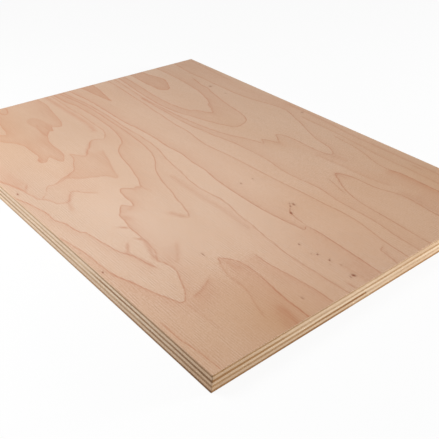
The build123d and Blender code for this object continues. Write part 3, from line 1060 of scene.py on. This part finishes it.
class PLYWOOD_OT_face_veneer(bpy.types.Operator):
    """Build the face veneer with its growth rings, pin knots and eased edge"""

    bl_idname = "plywood.face_veneer"
    bl_label = "Face Veneer"

    def execute(self, context):
        sizes, colours = context.scene.plywood_sizes, context.scene.plywood_colours
        places, ways = outline(LOW, HIGH, sizes.corner_ease, sizes.wall_step)
        loops, rim = veneer_wall(places, ways, UP, sizes)
        flat, triangles, rim_corners = skin(rim, self.points(sizes))
        line, shade = ring_figure(flat)
        knot = knot_figure(flat)
        top = LEVELS[-1] - sizes.ring_sink * line - sizes.knot_pit * knot
        top[rim_corners] = LEVELS[-1]
        skin_marks = {"line": line, "shade": shade, "knot": knot, "patch": patch_figure(flat, PATCHES),
                      "grey": patch_figure(flat, GREY_AND_PAINTED_LIGHT_PATCHES)}
        tone, end = edge_tone("face_veneer", places, ways), end_grain(ways)
        tones = [tone + side + (cut - side) * end for side, cut in zip(SIDE_FADE, END_FADE)]
        wall_marks = {"edge": self.edges(ways, len(loops)), "tone": tones, "end": [end] * len(loops)}
        build_outer_veneer("face_veneer", UP, loops, at_level(flat, top), rim_corners, triangles,
                           wall_marks, skin_marks, face_material(colours))
        return {"FINISHED"}

    def points(self, sizes):
        """Mesh points of the face: a grid, and closer ones that follow the figure."""
        margin = sizes.edge_ease + SKIN_MARGIN
        drawn = figure_points(sizes)
        drawn = drawn[np.all((drawn > LOW[:2] + margin) & (drawn < HIGH[:2] - margin), axis=1)]
        points = np.vstack([drawn, face_grid(margin, sizes.skin_step)])
        _, first = np.unique(np.round(points / CLOSEST_POINTS), axis=0, return_index=True)
        return points[np.sort(first)]

    def edges(self, ways, loop_count):
        """Share of the edge's colour on each loop: all on the wall, less up the two near arrises, and all
        on the two far arrises, where the darker edge colour is painted shade that damps the low rear
        lamp's light.
        """
        # The rear and left arrises take the full edge colour: painted shade, darker than the face,
        # against the strong light of the low rear lamp
        far = (ways[:, 1] > SIDE_ON) | (ways[:, 0] < -SIDE_ON)
        arris = [np.where(far, 1.0, amount) for amount in np.linspace(*ARRIS_EDGE, ARRIS_STEPS - 1)]
        return [np.ones(len(ways))] * (loop_count - len(arris)) + arris


class PLYWOOD_OT_back_veneer(bpy.types.Operator):
    """Build the back veneer that lies on the floor"""

    bl_idname = "plywood.back_veneer"
    bl_label = "Back Veneer"

    def execute(self, context):
        sizes, colours = context.scene.plywood_sizes, context.scene.plywood_colours
        places, ways = outline(LOW, HIGH, sizes.corner_ease, sizes.wall_step)
        loops, rim = veneer_wall(places, ways, DOWN, sizes)
        grid = face_grid(sizes.edge_ease + SKIN_MARGIN, BACK_COARSENESS * sizes.skin_step)
        flat, triangles, rim_corners = skin(rim, grid)
        # The back veneer's edge tones hold painted contact shadow along the floor as well as its wood
        wall_marks = {"edge": np.ones(len(places)), "tone": edge_tone("back_veneer", places, ways),
                      "end": end_grain(ways)}
        wall_marks = {name: [values] * len(loops) for name, values in wall_marks.items()}
        build_outer_veneer("back_veneer", DOWN, loops, at_level(flat, LEVELS[0]), rim_corners, triangles,
                           wall_marks, {}, back_material(colours))
        return {"FINISHED"}


class PLYWOOD_OT_cross_plies(bpy.types.Operator):
    """Build the core and the two crossbands, whose grain runs across the sheet"""

    bl_idname = "plywood.cross_plies"
    bl_label = "Cross Plies"

    def execute(self, context):
        colours = context.scene.plywood_colours
        streaks = (colours.cross_streak, colours.cross_streak)
        material = edge_material("cross_wood_edge", ALONG_Y, colours.cross_end, colours.cross_wood,
                                 streaks, colours.cross_pale)
        build_inner_plies(CROSS_PLIES, material, context.scene.plywood_sizes)
        return {"FINISHED"}


class PLYWOOD_OT_long_plies(bpy.types.Operator):
    """Build the two inner plies that run with the face, the lower one as two strips with a butt joint"""

    bl_idname = "plywood.long_plies"
    bl_label = "Long Plies"

    def execute(self, context):
        material = edge_material("long_wood_edge", ALONG_X, *long_woods(context.scene.plywood_colours))
        build_inner_plies(LONG_PLIES, material, context.scene.plywood_sizes)
        return {"FINISHED"}


class PLYWOOD_OT_studio(bpy.types.Operator):
    """Set the white floor, the two soft lamps, the even sky and the camera"""

    bl_idname = "plywood.studio"
    bl_label = "Studio"

    def execute(self, context):
        scene, studio = context.scene, context.scene.plywood_studio
        scene.view_settings.view_transform = "Standard"
        self.floor(scene, scene.plywood_colours.floor, studio.shadow)
        self.sky(scene, studio.sky)
        for side in ("left", "right"):
            settings = [getattr(studio, f"{side}_{key}") for key in ("place", "aim", "size", "power")]
            self.lamp(scene, f"{side}_lamp", *settings)
        self.camera(scene, studio)
        return {"FINISHED"}

    def seen(self, tree):
        """1 for rays that show the background as such: from the camera, in gloss or through glass."""
        path = add(tree, "ShaderNodeLightPath").outputs
        direct = number(tree, "MAXIMUM", path["Is Camera Ray"], path["Is Glossy Ray"])
        return number(tree, "MAXIMUM", direct, path["Is Transmission Ray"])

    def floor(self, scene, shade, shadow_share):
        """A wide white paper floor that keeps a faint shadow and can be seen through from below."""
        mesh = bpy.data.meshes.new("floor")
        signs = ((-1, -1), (1, -1), (1, 1), (-1, 1))
        corners = [(x * FLOOR_REACH, y * FLOOR_REACH, 0) for x, y in signs]
        mesh.from_pydata(corners, [], [(0, 1, 2, 3)])
        floor = bpy.data.objects.new("floor", mesh)
        floor.location.z = LOW[2] - FLOOR_DROP
        scene.collection.objects.link(floor)
        material, tree = new_material("white_paper")
        paper = add(tree, "ShaderNodeBsdfDiffuse", {"Color": (*shade, 1.0)}).outputs[0]
        glow = add(tree, "ShaderNodeEmission", {"Strength": 1.0}).outputs[0]
        white = add(tree, "ShaderNodeMixShader", {0: shadow_share, 1: glow, 2: paper}).outputs[0]
        look = add(tree, "ShaderNodeMixShader", {0: self.seen(tree), 1: paper, 2: white}).outputs[0]
        clear = add(tree, "ShaderNodeBsdfTransparent").outputs[0]
        under = add(tree, "ShaderNodeNewGeometry").outputs["Backfacing"]
        both = add(tree, "ShaderNodeMixShader", {0: under, 1: look, 2: clear}).outputs[0]
        add(tree, "ShaderNodeOutputMaterial", {"Surface": both})
        mesh.materials.append(material)

    def sky(self, scene, strength):
        """An even white sky that shows as pure white behind the sheet."""
        world = bpy.data.worlds.new("white_room")
        world.use_nodes = True
        tree = world.node_tree
        tree.nodes.clear()
        lights = [{"Color": WHITE, "Strength": level} for level in (strength, 1.0)]
        even, white = [add(tree, "ShaderNodeBackground", light).outputs[0] for light in lights]
        both = add(tree, "ShaderNodeMixShader", {0: self.seen(tree), 1: even, 2: white}).outputs[0]
        add(tree, "ShaderNodeOutputWorld", {"Surface": both})
        scene.world = world

    def lamp(self, scene, name, place, aim, size, power):
        """A soft square lamp that the camera doesn't see."""
        light = bpy.data.lights.new(name, "AREA")
        light.shape = "SQUARE"
        light.size = size
        light.energy = power
        lamp = bpy.data.objects.new(name, light)
        lamp.location = place
        lamp.rotation_euler = (Vector(aim) - Vector(place)).to_track_quat("-Z", "Y").to_euler()
        lamp.visible_camera = False
        lamp.visible_glossy = False
        scene.collection.objects.link(lamp)

    def camera(self, scene, studio):
        """The camera, turned a little about its own axis."""
        place, aim = Vector(studio.camera_place), Vector(studio.camera_aim)
        back = (place - aim).normalized()
        right = Vector((0, 0, 1)).cross(back).normalized()
        up = back.cross(right)
        c, s = math.cos(studio.camera_roll), math.sin(studio.camera_roll)
        turned = Matrix((c * right + s * up, c * up - s * right, back)).transposed()
        data = bpy.data.cameras.new("camera")
        data.lens = studio.camera_lens
        data.clip_start = NEAR_CLIP
        camera = bpy.data.objects.new("camera", data)
        camera.matrix_world = Matrix.Translation(place) @ turned.to_4x4()
        scene.collection.objects.link(camera)
        scene.camera = camera


class PLYWOOD_PT_panel(bpy.types.Panel):
    """Sidebar panel that lists the pieces and their settings"""

    bl_label = "Plywood Sheet"
    bl_space_type = "VIEW_3D"
    bl_region_type = "UI"
    bl_category = "Plywood"

    def draw(self, context):
        for operator in OPERATORS:
            self.layout.operator(operator.bl_idname)
        for name in SETTINGS:
            settings = getattr(context.scene, name)
            box = self.layout.box()
            for key in settings.__annotations__:
                box.prop(settings, key)


SETTINGS = {"plywood_sizes": PlywoodSizes, "plywood_colours": PlywoodColours,
            "plywood_studio": PlywoodStudio}
OPERATORS = (PLYWOOD_OT_face_veneer, PLYWOOD_OT_cross_plies, PLYWOOD_OT_long_plies,
             PLYWOOD_OT_back_veneer, PLYWOOD_OT_studio)
CLASSES = (*SETTINGS.values(), *OPERATORS, PLYWOOD_PT_panel)


def register():
    """Registers the settings, the operators and the panel."""
    for cls in CLASSES:
        bpy.utils.register_class(cls)
    for name, group in SETTINGS.items():
        setattr(bpy.types.Scene, name, PointerProperty(type=group))


def unregister():
    """Takes them away again."""
    for name in SETTINGS:
        delattr(bpy.types.Scene, name)
    for cls in reversed(CLASSES):
        bpy.utils.unregister_class(cls)


def main():
    """Builds every piece and the studio."""
    register()
    bpy.ops.plywood.face_veneer()
    bpy.ops.plywood.cross_plies()
    bpy.ops.plywood.long_plies()
    bpy.ops.plywood.back_veneer()
    bpy.ops.plywood.studio()


if __name__ == "__main__":
    main()
